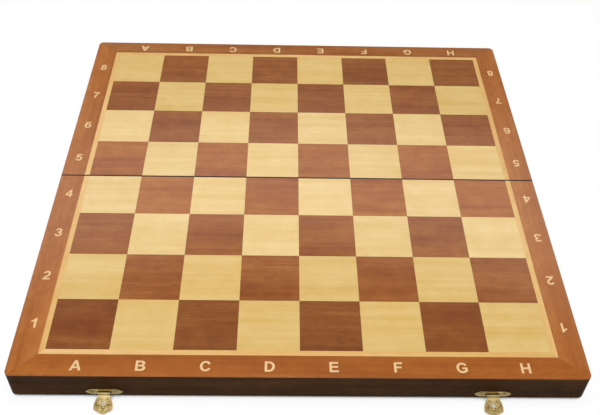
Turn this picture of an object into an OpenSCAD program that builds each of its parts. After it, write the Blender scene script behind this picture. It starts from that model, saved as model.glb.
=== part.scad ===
// Folding chess box with a hinged lid, laid open with its playing field upward.
// X runs along the ranks from A to H, Y from the player of the light men to the far side.
// The origin is at the middle of the fold, on the table.

/* [Playing field] */
// Side of one square
square = 54; // [45:1:60]
// Width of the light stringing round the squares
string_w = 5; // [2:0.5:8]
// Width of the border along the two sides
side_border_w = 24; // [18:0.5:32]
// Width of the border along the front and the back
end_border_w = 21.5; // [18:0.5:32]
// Thickness of the veneers
veneer_t = 0.6; // [0.5:0.1:1.2]
// Hairline between neighbouring squares
veneer_gap = 0.1; // [0.06:0.02:0.3]

/* [Case] */
// Height of one half from its rim to the playing field
half_h = 29; // [26:0.5:40]
// Thickness of the rails round each half
rail_t = 9; // [8.5:0.5:12]
// Thickness of the panel that carries the squares
panel_t = 4.4; // [3:0.2:6]
// Width of the rebate that holds the panel
rebate_w = 4; // [2:0.5:6]
// Clearance of the panel in its rebate
panel_fit = 0.1; // [0:0.05:0.3]
// Thickness of the felt lining
lining_t = 1.2; // [0.8:0.2:2]
// Clearance of the felt at the rails
lining_fit = 0.3; // [0.1:0.1:1]
// Plan radius of the four outer corners
corner_r = 5; // [3:0.5:12]
// Width of the eased outer edges
arris = 0.4; // [0.2:0.1:0.5]
// Gap between the two halves along the fold
seam_gap = 0.7; // [0.5:0.1:1.2]
// Gap left between the two rims when the box is closed
rim_gap = 0.2; // [0.1:0.1:0.6]

/* [Hinges] */
// Distance of each hinge from the middle of the fold
hinge_x = 150; // [90:5:170]
// Length of each hinge
hinge_len = 40; // [30:1:60]
// Number of knuckles on one hinge
knuckle_count = 5; // [3:2:7]
// Outer radius of the knuckles
knuckle_r = 1.7; // [1.5:0.1:2.2]
// Play between neighbouring knuckles
knuckle_play = 0.3; // [0.2:0.1:0.6]
// Radius of the hinge pin
hinge_pin_r = 0.8; // [0.6:0.1:1]
// Height of the peened head at each end of a pin
pin_head_h = 0.4; // [0.3:0.1:0.8]
// How far a peened head stands out round its hinge pin
pin_head_lip = 0.4; // [0.3:0.1:0.6]
// Thickness of a hinge leaf
leaf_t = 1; // [0.8:0.1:1.4]
// Wood left between a leaf and the inner face of its rail
leaf_margin = 0.6; // [0.4:0.1:1]
// Clearance of a leaf in its mortise
mortise_fit = 0.1; // [0.05:0.05:0.3]
// Clearance of the moving knuckles from the wood and the other leaf
knuckle_clear = 0.3; // [0.2:0.05:0.5]
// Number of screws in one leaf
leaf_screws = 3; // [2:1:4]
// Distance of the end screws from the end of a leaf
screw_inset = 6; // [4:0.5:8]

/* [Screws and nails] */
// Radius of the screw shanks
screw_r = 0.9; // [0.7:0.1:1.1]
// Radius of the countersunk screw heads
screw_head_r = 1.8; // [1.6:0.1:2.1]
// Length of a screw under its head
screw_len = 8; // [5:0.5:12]
// Width of the slot in a screw head
screw_slot_w = 0.5; // [0.3:0.1:0.7]
// Depth of the slot in a screw head
screw_slot_d = 0.35; // [0.2:0.05:0.6]
// Radius of the nail shanks
nail_r = 0.5; // [0.4:0.1:0.6]
// Radius of the round nail heads
nail_head_r = 0.85; // [0.7:0.05:1]
// Height of the round nail heads
nail_head_h = 0.45; // [0.3:0.05:0.7]
// Length of a nail in the wood
nail_len = 6.5; // [4:0.5:7.5]
// Radial clearance of pins and fasteners in their holes
pin_fit = 0.05; // [0.02:0.01:0.09]

/* [Clasp plates] */
// Distance of each clasp from the end of the front
clasp_inset = 80; // [60:1:130]
// Height of the plate's upper edge above the rim
plate_top = 10.2; // [9.8:0.1:13]
// Height of the plate
plate_h = 7; // [6.8:0.1:8.5]
// Width of the plate from tip to tip
plate_w = 31.2; // [28:0.1:36]
// Width of the plate between its pointed ends
plate_mid_w = 18; // [17:0.1:20]
// Thickness of the stamped brass of the plates
plate_t = 0.8; // [0.6:0.1:0.9]
// Height of the slot over the rolled ends
slot_h = 1.2; // [0.8:0.1:1.6]
// Width of brass between the slot and the plate's upper edge
slot_strip = 2.5; // [2:0.1:3]
// Distance of the plate's nails from its middle
plate_nail_x = 7; // [6.8:0.1:7.3]
// Radius of the largest ring of a stamped scroll
scroll_r = 1.6; // [1:0.1:1.8]
// Radius of the bead that forms a scroll
scroll_bead = 0.4; // [0.25:0.05:0.5]
// Distance of the plate's scrolls from its middle
plate_scroll_x = 10.4; // [10.2:0.1:11]

/* [Clasp tongues] */
// Height of the clasp pin above the rim
clasp_pin_h = 5.3; // [5:0.1:5.6]
// Radius of the clasp pin
clasp_pin_r = 0.6; // [0.5:0.1:0.7]
// Outer radius of the rolled ends round the pin
curl_r = 1.45; // [1.3:0.05:1.5]
// Clearance of the rolled ends from the wood and the plate
curl_clear = 0.3; // [0.2:0.05:0.4]
// Width of the plate's own rolled ends
ear_w = 1.1; // [0.9:0.1:1.4]
// Play between the tongue's rolled end and the plate's
curl_play = 0.2; // [0.15:0.05:0.3]
// Thickness of the tongue
tongue_t = 0.9; // [0.7:0.1:1]
// Width of the tongue at its neck
neck_w = 10.4; // [9.6:0.1:11]
// Length of the tongue's straight neck
neck_len = 2.4; // [2.2:0.1:3]
// Greatest width of the tongue
tongue_w = 16.2; // [15:0.1:17]
// Distance from the pin at which the tongue reaches its greatest width
tongue_wide_at = 10.6; // [9:0.1:11.5]
// Distance from the pin at which the rounding of its lower corners starts
tongue_corner_at = 12.6; // [12:0.1:13]
// Radius of the tongue's lower corners
tongue_corner_r = 1.4; // [1:0.1:1.8]
// Length of the tongue from the pin to its tip
tongue_len = 17.1; // [17:0.1:18.5]
// Radius of the rounded finger nub at the tip
nub_r = 5.2; // [4.8:0.1:5.6]
// Angle at which the nub leaves the tongue's lower edge
nub_from = 40; // [34:1:46]
// Distance of the raised boss from the pin
boss_at = 11.8; // [11.6:0.1:12.2]
// Radius of the raised boss
boss_r = 1.3; // [1:0.1:1.4]
// Height of the raised boss
boss_h = 0.5; // [0.3:0.1:0.7]
// Distance of the keyhole from the pin
keyhole_at = 8.6; // [8.4:0.1:8.8]
// Radius of the keyhole
keyhole_r = 1.45; // [1.4:0.05:1.6]
// Width of the narrow part of the keyhole
keyhole_slot_w = 1.7; // [1.6:0.1:2]
// Length of the narrow part of the keyhole, toward the pin
keyhole_slot_len = 2.3; // [2:0.1:2.6]
// Distance of the tongue's scrolls from its middle
tongue_scroll_x = 4.9; // [4.7:0.1:5]
// Distance of the tongue's scrolls from the pin
tongue_scroll_at = 10; // [9.8:0.1:10.4]
// Gap between the tongue's tip and the table
tip_clear = 0.05; // [0:0.01:0.3]

/* [Catches] */
// Width of a catch plate from tip to tip
catch_w = 28; // [27:0.5:32]
// Width of a catch plate between its pointed ends
catch_mid_w = 16; // [14:0.5:17]
// Height of a catch plate
catch_h = 5; // [4.4:0.1:5.4]
// Distance of the catch plate's nails from its middle
catch_nail_x = 10.2; // [10:0.1:10.8]
// Radius of the stud's neck
stud_neck_r = 0.75; // [0.6:0.05:0.8]
// Radius of the stud's head
stud_head_r = 1.2; // [1.1:0.05:1.25]
// Height of the stud's head
stud_head_h = 0.9; // [0.6:0.1:1.2]
// Gap between the closed tongue and the stud's head
stud_clear = 0.2; // [0.1:0.05:0.4]
// Length of the stud's rivet in the wood
stud_len = 4; // [2:0.5:6]

/* [Hidden] */
$fn = 96;
FILES = 8;
RANKS_PER_HALF = 4;
over = 1; // how far cutters run past what they cut

field_x = FILES / 2 * square;
field_y = seam_gap / 2 + RANKS_PER_HALF * square;
string_x = field_x + string_w;
string_y = field_y + string_w;
half_x = string_x + side_border_w;
half_y = string_y + end_border_w;
seam_y = seam_gap / 2;

hinge_z = knuckle_r;
rim_z = hinge_z + rim_gap / 2;
wood_h = half_h - veneer_t;
wood_top = rim_z + wood_h;
field_z = rim_z + half_h;
panel_bottom = wood_top - panel_t;

leaf_w = seam_y + rail_t - leaf_margin;
leaf_edge = knuckle_r + knuckle_clear;
leaf_mid = (leaf_edge + leaf_w) / 2;
knuckle_w = (hinge_len - (knuckle_count - 1) * knuckle_play) / knuckle_count;

clasp_x = half_x - clasp_inset;
clasp_z = rim_z + clasp_pin_h;
clasp_y = half_y + curl_clear + curl_r;
plate_mid_z = rim_z + plate_top - plate_h / 2;
slot_top = rim_z + plate_top - slot_strip;
// The heads of a clasp pin stop just short of the plate's face.
clasp_head_r = clasp_y - half_y - plate_t - 2 * pin_fit;
roll_w = neck_w - 2 * (ear_w + curl_play);
shoulder_at = curl_r + curl_clear;

// The open tongue slopes down until the underside of its tip is just off the table.
tip_reach = sqrt(pow(tongue_len, 2) + pow(tongue_t / 2, 2));
tongue_slope = asin((clasp_z - tip_clear) / tip_reach) - atan2(tongue_t / 2, tongue_len);

// Height of the catch stud on the open half, found by folding the closed keyhole about the hinge.
stud_z = 2 * hinge_z - (clasp_z - keyhole_at);
stud_neck_len = clasp_y - half_y - plate_t + tongue_t / 2 + stud_clear;

// The near half is drawn, and the far half is the same half turned about the middle of the board.
module turned() {
    rotate([0, 0, 180]) children();
}

// Plan of a half, square along the fold and rounded at its two outer corners.
module half_plan() {
    difference() {
        translate([-half_x, -half_y]) square([2 * half_x, half_y - seam_y]);
        for (side = [-1, 1]) {
            difference() {
                translate([side * half_x, -half_y]) square(2 * corner_r, center = true);
                translate([side * (half_x - corner_r), corner_r - half_y]) circle(corner_r);
            }
        }
    }
}

// Wedge that cuts an end strip out of a mitred frame whose inner edge is at inner_x, inner_y.
module end_wedge(outer_x, outer_y, inner_x, inner_y) {
    polygon([[-outer_x, -outer_y], [outer_x, -outer_y], [inner_x, -inner_y], [-inner_x, -inner_y]]);
}

// The same for a side strip. The seam end is mitred by seam_w, or square where that is 0.
module side_wedge(side, outer_x, outer_y, inner_x, inner_y, seam_w) {
    polygon([[side * outer_x, -outer_y], [side * outer_x, -seam_y],
        [side * inner_x, -seam_y - seam_w], [side * inner_x, -inner_y]]);
}

// Cutter that eases the outer edge of a half at z = 0. Up is 1 for an upper edge, -1 for a lower one.
module edge_easer(up) {
    reach = arris + over;
    for (side = [-1, 1]) {
        translate([side * half_x, 0, 0]) rotate([90, 0, 0])
            linear_extrude(half_y - corner_r) easer_section(side, up, reach);
        translate([side * (half_x - corner_r), corner_r - half_y, 0])
            rotate([0, 0, side > 0 ? -90 : 180])
            rotate_extrude(angle = 90) translate([corner_r, 0]) easer_section(1, up, reach);
    }
    translate([corner_r - half_x, -half_y, 0]) rotate([90, 0, 90])
        linear_extrude(2 * (half_x - corner_r)) easer_section(-1, up, reach);
}

module easer_section(side, up, reach) {
    polygon([[-side * reach, up * over], [side * over, up * over], [side * over, -up * reach]]);
}

// Rail of the frame round a half, with the rebate for the panel along its inner upper edge.
module rail_blank() {
    difference() {
        translate([0, 0, rim_z]) linear_extrude(wood_h) intersection() {
            half_plan();
            children();
        }
        panel_space(0, over);
        translate([0, 0, rim_z]) edge_easer(-1);
    }
}

// Space of the panel, less a clearance on its edges and with some height added.
module panel_space(fit, extra) {
    px = half_x - rail_t + rebate_w - fit;
    py = half_y - rail_t + rebate_w - fit;
    sy = seam_y + rail_t - rebate_w + fit;
    translate([-px, -py, panel_bottom]) cube([2 * px, py - sy, panel_t + extra]);
}

module end_rail() {
    difference() {
        rail_blank() end_wedge(half_x, half_y, half_x - rail_t, half_y - rail_t);
        children();
    }
}

module side_rail(side) {
    rail_blank() side_wedge(side, half_x, half_y, half_x - rail_t, half_y - rail_t, rail_t);
}

module hinge_rail() {
    ix = half_x - rail_t;
    iy = seam_y + rail_t;
    difference() {
        rail_blank() polygon([[-half_x, -seam_y], [half_x, -seam_y], [ix, -iy], [-ix, -iy]]);
        for (side = [-1, 1]) translate([side * hinge_x, 0, 0]) hinge_mortise();
    }
}

module panel() {
    panel_space(panel_fit, 0);
}

module lining() {
    lx = half_x - rail_t - lining_fit;
    ly = half_y - rail_t - lining_fit;
    sy = seam_y + rail_t + lining_fit;
    translate([-lx, -ly, panel_bottom - lining_t]) cube([2 * lx, ly - sy, lining_t]);
}

// The squares of one colour. Shade is 0 for the dark ones, because the near left square is dark.
module squares(shade) {
    for (file = [0:FILES - 1], rank = [0:RANKS_PER_HALF - 1]) {
        if ((file + rank) % 2 == shade) {
            translate([file * square - field_x, rank * square - field_y, wood_top])
                translate([veneer_gap / 2, veneer_gap / 2, 0])
                cube([square - veneer_gap, square - veneer_gap, veneer_t]);
        }
    }
}

module end_string() {
    translate([0, 0, wood_top]) linear_extrude(veneer_t)
        end_wedge(string_x, string_y, field_x, field_y);
}

module side_string(side) {
    translate([0, 0, wood_top]) linear_extrude(veneer_t)
        side_wedge(side, string_x, string_y, field_x, field_y, 0);
}

module border_blank() {
    difference() {
        translate([0, 0, wood_top]) linear_extrude(veneer_t) intersection() {
            half_plan();
            children();
        }
        translate([0, 0, field_z]) edge_easer(1);
    }
}

module end_border() {
    border_blank() end_wedge(half_x, half_y, string_x, string_y);
}

module side_border(side) {
    border_blank() side_wedge(side, half_x, half_y, string_x, string_y, 0);
}

// Bar of the given radius and length along X, centred on the origin.
module bar(r, len) {
    rotate([0, 90, 0]) cylinder(r = r, h = len, center = true);
}

module hinge_mortise() {
    mx = hinge_len / 2 + mortise_fit;
    translate([-mx, -leaf_w - mortise_fit, rim_z - over])
        cube([2 * mx, leaf_w + mortise_fit, leaf_t + over]);
    translate([0, 0, hinge_z]) bar(leaf_edge, hinge_len + 2 * (pin_head_h + knuckle_clear));
    at_screws() screw_space(pin_fit);
}

// The places of the screws of one near leaf, on the leaf's lower face.
module at_screws() {
    span = hinge_len - 2 * screw_inset;
    for (i = [0:leaf_screws - 1])
        translate([i * span / (leaf_screws - 1) - span / 2, -leaf_mid, rim_z]) children();
}

// Countersunk head and shank, pointing up from the leaf's lower face.
module screw_space(fit) {
    cylinder(r1 = screw_head_r + fit, r2 = screw_r + fit, h = leaf_t);
    translate([0, 0, -over]) cylinder(r = screw_head_r + fit, h = over + 0.001);
    cylinder(r = screw_r + fit, h = leaf_t + screw_len + fit);
}

module screw() {
    point = 2 * screw_r;
    difference() {
        union() {
            cylinder(r1 = screw_head_r, r2 = screw_r, h = leaf_t);
            cylinder(r = screw_r, h = leaf_t + screw_len - point);
            translate([0, 0, leaf_t + screw_len - point]) cylinder(r1 = screw_r, r2 = 0.1, h = point);
        }
        translate([-2 * screw_head_r, -screw_slot_w / 2, -over])
            cube([4 * screw_head_r, screw_slot_w, over + screw_slot_d]);
    }
}

// One leaf with its share of the knuckles. First is 0 for the leaf that has the end knuckles.
module hinge_leaf(first) {
    difference() {
        union() {
            translate([-hinge_len / 2, -leaf_w, rim_z]) cube([hinge_len, leaf_w - leaf_edge, leaf_t]);
            for (i = [first:2:knuckle_count - 1]) {
                x = i * (knuckle_w + knuckle_play) + knuckle_w / 2 - hinge_len / 2;
                translate([x, 0, hinge_z]) bar(knuckle_r, knuckle_w);
                translate([x - knuckle_w / 2, -leaf_edge - leaf_t, rim_z])
                    cube([knuckle_w, leaf_edge + leaf_t, leaf_t]);
            }
        }
        translate([0, 0, hinge_z]) bar(hinge_pin_r + pin_fit, hinge_len + over);
        at_screws() screw_space(pin_fit);
    }
}

// Round bar with a peened head at each end, along X. Len is the length between the heads.
module headed_pin(r, head_r, len) {
    bar(r, len + 2 * pin_head_h);
    for (side = [-1, 1])
        translate([side * (len + pin_head_h) / 2, 0, 0]) bar(head_r, pin_head_h);
}

module hinge_pin(side) {
    translate([side * hinge_x, 0, hinge_z])
        headed_pin(hinge_pin_r, hinge_pin_r + pin_head_lip, hinge_len);
}

module clasp_pin(side) {
    translate([side * clasp_x, -clasp_y, clasp_z]) headed_pin(clasp_pin_r, clasp_head_r, neck_w);
}

// Cap of a sphere that stands on the XY plane.
module round_cap(r, h) {
    ball = (r * r + h * h) / (2 * h);
    intersection() {
        translate([0, 0, h - ball]) sphere(ball);
        translate([-r - over, -r - over, 0]) cube([2 * (r + over), 2 * (r + over), h + over]);
    }
}

// Stamped scroll on the XY plane: three half rings, each smaller and finer than the one before.
module scroll(r, bead, hand) {
    mirror([hand < 0 ? 1 : 0, 0, 0]) {
        half_ring(r, bead, 0);
        translate([-0.3 * r, 0, 0]) half_ring(0.7 * r, 0.9 * bead, 180);
        translate([-0.05 * r, 0, 0]) half_ring(0.45 * r, 0.8 * bead, 0);
    }
}

module half_ring(r, bead, from) {
    rotate([0, 0, from]) rotate_extrude(angle = 180) translate([r, 0]) circle(bead);
}

// Outline of a stamped plate in X and Z: straight in its middle, with an arched point at each end.
module plate_blank(w, mid_w, h) {
    point = (w - mid_w) / 2;
    arch_r = (pow(point, 2) + pow(h / 2, 2)) / h;
    rotate([90, 0, 0]) linear_extrude(plate_t) {
        for (side = [-1, 1]) intersection() {
            translate([side * mid_w / 2, arch_r - h / 2]) circle(arch_r);
            translate([side * mid_w / 2, h / 2 - arch_r]) circle(arch_r);
        }
        square([mid_w, h], center = true);
    }
}

// Places on the front of the near half, at a height z, facing the player.
module on_front(x, z) {
    translate([x, -half_y, z]) children();
}

module nail() {
    rotate([90, 0, 0]) {
        translate([0, 0, plate_t]) round_cap(nail_head_r, nail_head_h);
        translate([0, 0, -nail_len]) cylinder(r = nail_r, h = nail_len + plate_t + 0.1);
    }
}

module nail_hole() {
    rotate([90, 0, 0]) translate([0, 0, -nail_len - pin_fit])
        cylinder(r = nail_r + pin_fit, h = nail_len + plate_t + over);
}

module at_plate_nails() {
    for (clasp = [-1, 1], side = [-1, 1])
        on_front(clasp * clasp_x + side * plate_nail_x, plate_mid_z) children();
}

// The catch is drawn on the near half, as its far half twin is turned about the middle.
module at_catch_nails() {
    for (clasp = [-1, 1], side = [-1, 1])
        on_front(clasp * clasp_x + side * catch_nail_x, stud_z) children();
}

// The plate stands on both sides of a notch for the tongue's rolled end, with a slot over it.
module clasp_plate() {
    notch_w = roll_w + 2 * curl_play;
    difference() {
        union() {
            on_front(0, plate_mid_z) plate_blank(plate_w, plate_mid_w, plate_h);
            for (side = [-1, 1]) {
                on_front(side * plate_scroll_x, plate_mid_z) translate([0, -plate_t, 0])
                    rotate([90, 0, 0]) scroll(scroll_r, scroll_bead, side);
                translate([side * (neck_w - ear_w) / 2, -clasp_y, clasp_z]) bar(curl_r, ear_w);
            }
        }
        translate([-neck_w / 2, -half_y - plate_t - over, slot_top - slot_h])
            cube([neck_w, plate_t + 2 * over, slot_h]);
        translate([-notch_w / 2, -half_y - plate_t - over, rim_z])
            cube([notch_w, plate_t + 2 * over, slot_top - rim_z]);
        translate([0, -clasp_y, clasp_z]) bar(clasp_pin_r + pin_fit, neck_w + over);
        for (side = [-1, 1]) on_front(side * plate_nail_x, plate_mid_z) nail_hole();
    }
}

// Outline of the tongue with the pin along X at Y = 0 and the tip toward -Y.
function tongue_flank() = concat(
    [[roll_w / 2, 0], [roll_w / 2, -shoulder_at], [neck_w / 2, -shoulder_at]],
    [for (i = [0:8]) [
        neck_w / 2 + (tongue_w - neck_w) / 2 * sin(90 * i / 8),
        -neck_len - (tongue_wide_at - neck_len) * i / 8]],
    [for (i = [0:4]) [
        tongue_w / 2 - tongue_corner_r * (1 - cos(90 * i / 4)),
        -tongue_corner_at - tongue_corner_r * sin(90 * i / 4)]],
    [for (i = [0:8], turn = nub_from + (90 - nub_from) * i / 8) [
        nub_r * cos(turn), nub_r - tongue_len - nub_r * sin(turn)]]);

module tongue_outline() {
    flank = tongue_flank();
    last = len(flank) - 1;
    polygon(concat(flank, [for (i = [last - 1:-1:0]) [-flank[i][0], flank[i][1]]]));
}

// The tongue leaves the middle of its rolled end. The narrow part of its keyhole is toward the pin.
module tongue() {
    face = tongue_t / 2;
    translate([0, -clasp_y, clasp_z]) rotate([tongue_slope, 0, 0]) difference() {
        union() {
            bar(curl_r, roll_w);
            translate([0, 0, -face]) linear_extrude(tongue_t) tongue_outline();
            for (side = [-1, 1])
                translate([side * tongue_scroll_x, -tongue_scroll_at, face])
                    scroll(scroll_r, scroll_bead, side);
            translate([0, -boss_at, face]) round_cap(boss_r, boss_h);
        }
        bar(clasp_pin_r + pin_fit, roll_w + over);
        translate([0, 0, -face - over]) {
            translate([0, -keyhole_at, 0]) cylinder(r = keyhole_r, h = tongue_t + 2 * over);
            translate([-keyhole_slot_w / 2, -keyhole_at, 0])
                cube([keyhole_slot_w, keyhole_slot_len, tongue_t + 2 * over]);
        }
    }
}

module catch_plate() {
    difference() {
        on_front(0, stud_z) plate_blank(catch_w, catch_mid_w, catch_h);
        on_front(0, stud_z) rotate([90, 0, 0]) translate([0, 0, -over])
            cylinder(r = stud_neck_r + pin_fit, h = plate_t + 2 * over);
        for (side = [-1, 1]) on_front(side * catch_nail_x, stud_z) nail_hole();
    }
}

// Riveted stud that the closed tongue drops over.
module catch_stud() {
    on_front(0, stud_z) rotate([90, 0, 0]) {
        translate([0, 0, -stud_len]) cylinder(r = stud_neck_r, h = stud_len + plate_t + stud_neck_len);
        translate([0, 0, plate_t + stud_neck_len]) round_cap(stud_head_r, stud_head_h);
    }
}

module base_front_rail() {
    color("#3a2b1e") end_rail() at_plate_nails() nail_hole();
}

module base_left_rail() {
    color("#3a2b1e") side_rail(-1);
}

module base_right_rail() {
    color("#3a2b1e") side_rail(1);
}

module base_hinge_rail() {
    color("#3a2b1e") hinge_rail();
}

module base_panel() {
    color("#c9a878") panel();
}

module base_lining() {
    color("#1f4a33") lining();
}

module base_dark_squares() {
    color("#8a4f2c") squares(0);
}

module base_light_squares() {
    color("#e6c688") squares(1);
}

module base_front_string() {
    color("#e3bf83") end_string();
}

module base_left_string() {
    color("#e3bf83") side_string(-1);
}

module base_right_string() {
    color("#e3bf83") side_string(1);
}

module base_front_border() {
    color("#aa622a") end_border();
}

module base_left_border() {
    color("#b67b4c") side_border(-1);
}

module base_right_border() {
    color("#b67c4e") side_border(1);
}

module lid_back_rail() {
    color("#3a2b1e") turned() end_rail() {
        at_catch_nails() nail_hole();
        for (side = [-1, 1])
            on_front(side * clasp_x, stud_z) rotate([90, 0, 0]) translate([0, 0, -stud_len - pin_fit])
                cylinder(r = stud_neck_r + pin_fit, h = stud_len + over);
    }
}

module lid_left_rail() {
    color("#3a2b1e") turned() side_rail(1);
}

module lid_right_rail() {
    color("#3a2b1e") turned() side_rail(-1);
}

module lid_hinge_rail() {
    color("#3a2b1e") turned() hinge_rail();
}

module lid_panel() {
    color("#c9a878") turned() panel();
}

module lid_lining() {
    color("#1f4a33") turned() lining();
}

module lid_dark_squares() {
    color("#8a4f2c") turned() squares(0);
}

module lid_light_squares() {
    color("#e6c688") turned() squares(1);
}

module lid_back_string() {
    color("#e3bf83") turned() end_string();
}

module lid_left_string() {
    color("#e3bf83") turned() side_string(1);
}

module lid_right_string() {
    color("#e3bf83") turned() side_string(-1);
}

module lid_back_border() {
    color("#aa6c39") turned() end_border();
}

module lid_left_border() {
    color("#b67b4c") turned() side_border(1);
}

module lid_right_border() {
    color("#b67c4e") turned() side_border(-1);
}

module left_hinge_base_leaf() {
    color("#c8a24a") translate([-hinge_x, 0, 0]) hinge_leaf(0);
}

module right_hinge_base_leaf() {
    color("#c8a24a") translate([hinge_x, 0, 0]) hinge_leaf(0);
}

module left_hinge_lid_leaf() {
    color("#c8a24a") translate([-hinge_x, 0, 0]) turned() hinge_leaf(1);
}

module right_hinge_lid_leaf() {
    color("#c8a24a") translate([hinge_x, 0, 0]) turned() hinge_leaf(1);
}

module left_hinge_pin() {
    color("#c8a24a") hinge_pin(-1);
}

module right_hinge_pin() {
    color("#c8a24a") hinge_pin(1);
}

module base_hinge_screws() {
    color("#c8a24a") for (side = [-1, 1]) translate([side * hinge_x, 0, 0]) at_screws() screw();
}

module lid_hinge_screws() {
    color("#c8a24a") turned() for (side = [-1, 1]) translate([side * hinge_x, 0, 0]) at_screws() screw();
}

module left_clasp_plate() {
    color("#d4b052") translate([-clasp_x, 0, 0]) clasp_plate();
}

module right_clasp_plate() {
    color("#d4b052") translate([clasp_x, 0, 0]) clasp_plate();
}

module left_clasp_pin() {
    color("#c8a24a") clasp_pin(-1);
}

module right_clasp_pin() {
    color("#c8a24a") clasp_pin(1);
}

module clasp_nails() {
    color("#c8a24a") at_plate_nails() nail();
}

module left_tongue() {
    color("#d4b052") translate([-clasp_x, 0, 0]) tongue();
}

module right_tongue() {
    color("#d4b052") translate([clasp_x, 0, 0]) tongue();
}

module left_catch_plate() {
    color("#d4b052") turned() translate([clasp_x, 0, 0]) catch_plate();
}

module right_catch_plate() {
    color("#d4b052") turned() translate([-clasp_x, 0, 0]) catch_plate();
}

module left_catch_stud() {
    color("#c8a24a") turned() translate([clasp_x, 0, 0]) catch_stud();
}

module right_catch_stud() {
    color("#c8a24a") turned() translate([-clasp_x, 0, 0]) catch_stud();
}

module catch_nails() {
    color("#c8a24a") turned() at_catch_nails() nail();
}

base_front_rail();
base_left_rail();
base_right_rail();
base_hinge_rail();
base_panel();
base_lining();
base_dark_squares();
base_light_squares();
base_front_string();
base_left_string();
base_right_string();
base_front_border();
base_left_border();
base_right_border();
lid_back_rail();
lid_left_rail();
lid_right_rail();
lid_hinge_rail();
lid_panel();
lid_lining();
lid_dark_squares();
lid_light_squares();
lid_back_string();
lid_left_string();
lid_right_string();
lid_back_border();
lid_left_border();
lid_right_border();
left_hinge_base_leaf();
right_hinge_base_leaf();
left_hinge_lid_leaf();
right_hinge_lid_leaf();
left_hinge_pin();
right_hinge_pin();
base_hinge_screws();
lid_hinge_screws();
left_clasp_plate();
right_clasp_plate();
left_clasp_pin();
right_clasp_pin();
clasp_nails();
left_tongue();
right_tongue();
left_catch_plate();
right_catch_plate();
left_catch_stud();
right_catch_stud();
catch_nails();
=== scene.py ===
import math
import bmesh
import bpy
from mathutils import Matrix, Vector


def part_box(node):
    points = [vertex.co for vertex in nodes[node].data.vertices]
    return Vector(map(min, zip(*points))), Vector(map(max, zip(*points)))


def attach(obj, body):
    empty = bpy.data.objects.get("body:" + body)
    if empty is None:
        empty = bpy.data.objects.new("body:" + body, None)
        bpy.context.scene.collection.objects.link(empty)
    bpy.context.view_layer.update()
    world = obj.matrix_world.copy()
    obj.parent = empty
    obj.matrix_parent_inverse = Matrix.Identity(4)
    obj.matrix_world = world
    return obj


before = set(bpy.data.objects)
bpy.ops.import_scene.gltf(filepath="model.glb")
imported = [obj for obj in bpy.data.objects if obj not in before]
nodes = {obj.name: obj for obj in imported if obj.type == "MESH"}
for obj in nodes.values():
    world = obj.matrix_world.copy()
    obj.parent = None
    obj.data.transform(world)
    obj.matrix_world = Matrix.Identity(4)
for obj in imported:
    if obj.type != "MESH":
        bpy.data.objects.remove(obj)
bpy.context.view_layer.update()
mm = 0.001
print("frame loaded:", len(nodes), "nodes")


def srgb(hexCode):
    channels = [int(hexCode[i:i + 2], 16) / 255 for i in (1, 3, 5)]
    return [c / 12.92 if c <= 0.04045 else ((c + 0.055) / 1.055) ** 2.4 for c in channels] + [1.0]


class Wiring:
    # adds nodes to a tree; whatever goes into a socket may be a value or another socket
    def __init__(self, tree):
        self.tree = tree
        self.tree.nodes.clear()
        self.count = 0

    def add(self, kind, inputs=None, **props):
        node = self.tree.nodes.new(kind)
        self.count += 1
        node.location = (-220 * (self.count % 12) - 300, 160 * (self.count // 12))
        for key, value in props.items():
            setattr(node, key, value)
        for key, value in (inputs or {}).items():
            self.put(node.inputs[key], value)
        return node

    def put(self, socket, value):
        if isinstance(value, bpy.types.NodeSocket):
            self.tree.links.new(value, socket)
        else:
            socket.default_value = value

    def math(self, op, a, b=0.0, clamp=False):
        return self.add("ShaderNodeMath", {0: a, 1: b}, operation=op, use_clamp=clamp).outputs[0]

    def vec(self, op, a, b):
        return self.add("ShaderNodeVectorMath", {0: a, 1: b}, operation=op).outputs[0]

    def mix(self, factor, a, b):
        return self.add("ShaderNodeMix", {0: factor, 6: a, 7: b}, data_type="RGBA").outputs[2]

    def ramp(self, value, stops):
        node = self.add("ShaderNodeValToRGB", {0: value})
        band = node.color_ramp
        while len(band.elements) < len(stops):
            band.elements.new(0.5)
        for element, (at, colour) in zip(band.elements, stops):
            element.position = at
            element.color = colour if isinstance(colour, list) else (colour, colour, colour, 1)
        return node.outputs[0]

    def noise(self, vector, scale, detail=3.0, rough=0.5, distortion=0.0):
        return self.add("ShaderNodeTexNoise", {"Vector": vector, "Scale": scale, "Detail": detail,
                                               "Roughness": rough, "Distortion": distortion}).outputs["Fac"]

    def mapped(self, vector, scale=(1, 1, 1), turn=(0, 0, 0)):
        place = {"Vector": vector, "Rotation": turn, "Scale": scale}
        return self.add("ShaderNodeMapping", place).outputs[0]

    def bump(self, height, strength, distance):
        return self.add("ShaderNodeBump", {"Height": height, "Strength": strength,
                                           "Distance": distance}).outputs[0]


class Shader(Wiring):
    # one material with a single surface shader; constants go straight onto its sockets
    def __init__(self, name):
        self.mat = bpy.data.materials.new(name)
        self.mat.use_nodes = True
        super().__init__(self.mat.node_tree)
        self.out = self.tree.nodes.new("ShaderNodeOutputMaterial")
        self.bsdf = self.tree.nodes.new("ShaderNodeBsdfPrincipled")
        self.tree.links.new(self.bsdf.outputs[0], self.out.inputs[0])

    def set(self, **inputs):
        names = {"color": "Base Color", "roughness": "Roughness", "metallic": "Metallic",
                 "coat": "Coat Weight", "coatRoughness": "Coat Roughness", "coatIor": "Coat IOR",
                 "specular": "Specular IOR Level", "sheen": "Sheen Weight",
                 "sheenRoughness": "Sheen Roughness", "sheenTint": "Sheen Tint", "normal": "Normal"}
        for key, value in inputs.items():
            self.put(self.bsdf.inputs[names[key]], value)

    def objectCoords(self):
        return self.add("ShaderNodeTexCoord").outputs["Object"]


squareSize = 54 * mm
seamHalf = 0.35 * mm

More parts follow.
